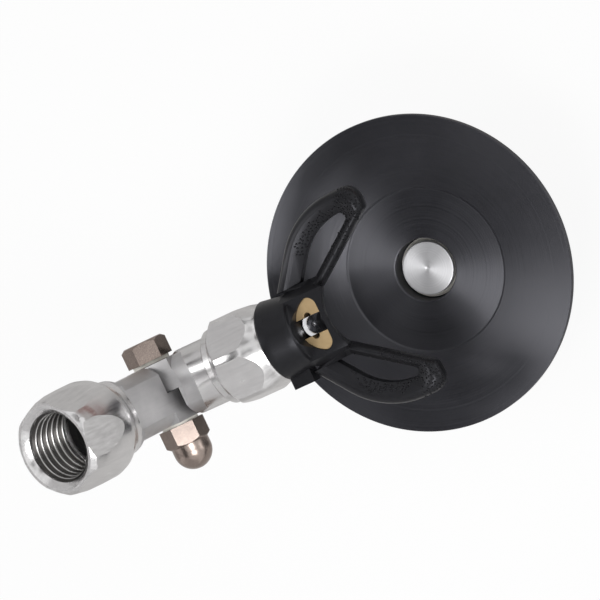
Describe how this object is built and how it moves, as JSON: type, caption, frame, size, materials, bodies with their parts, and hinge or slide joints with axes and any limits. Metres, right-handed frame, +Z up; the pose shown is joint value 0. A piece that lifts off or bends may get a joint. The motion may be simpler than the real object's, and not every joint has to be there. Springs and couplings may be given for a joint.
{
  "type": "rolling edge shield for a paint spray gun",
  "caption": "Spray gun tip guard on a lockable threaded swivel, carrying a dished black disc that rolls on a pin along an edge to mask the spray.",
  "frame": {"origin": "on the inlet thread's axis, at the thread's outer end, just inside the mouth", "axes": "+X along the guard towards the spray side, +Y along the swivel bolt towards its head, +Z up, square to the disc"},
  "size_m": [0.1631, 0.1, 0.1149],
  "materials": {
    "aluminium_inlet": "polished",
    "aluminium_outlet": "polished, milled cheeks",
    "aluminium_nut": "polished",
    "pin_aluminium": "turned",
    "nickel_steel": "satin nickel",
    "spring_steel": "bright",
    "seat_steel": "ground",
    "brass": "satin",
    "bronze": "bored",
    "nylon": "natural",
    "seal_rubber": "matte",
    "guard_plastic": "satin black, moulded",
    "disc_plastic": "satin black, turned",
    "bracket_paint": "satin black"
  },
  "bodies": {
    "inlet": {"inlet_body": "aluminium_inlet", "inlet_gasket": "seal_rubber", "swivel_bolt": "nickel_steel", "bolt_seal": "nylon", "cap_nut": "nickel_steel", "cap_seal": "nylon", "lap_ring": "seal_rubber"},
    "outlet": {"outlet_body": "aluminium_outlet", "guard_nut": "aluminium_nut", "snap_ring": "spring_steel"},
    "guard": {"tip_guard": "guard_plastic", "tip_pads": "brass", "tip_seat": "seat_steel", "seat_gasket": "seal_rubber", "bracket_arm": "bracket_paint", "bracket_screws": "nickel_steel", "axle_pin": "pin_aluminium", "axle_washer": "nickel_steel", "axle_nut": "nickel_steel", "lower_thrust_washer": "nylon"},
    "roller": {"disc": "disc_plastic", "disc_bush": "bronze", "upper_thrust_washer": "nylon"}
  },
  "joints": [
    {"name": "swivel_tilt", "type": "hinge", "parent": "inlet", "child": "outlet", "pos_m": [0.01403, 0, -0.05235], "axis": [0, 1, 0], "range_deg": [-15, 165]},
    {"name": "guard_turn", "type": "hinge", "parent": "outlet", "child": "guard", "pos_m": [0.05903, 0, -0.05235], "axis": [1, 0, 0], "continuous": true},
    {"name": "disc_spin", "type": "hinge", "parent": "guard", "child": "roller", "pos_m": [0.09903, 0, -0.09035], "axis": [0, 0, 1], "continuous": true}
  ]
}
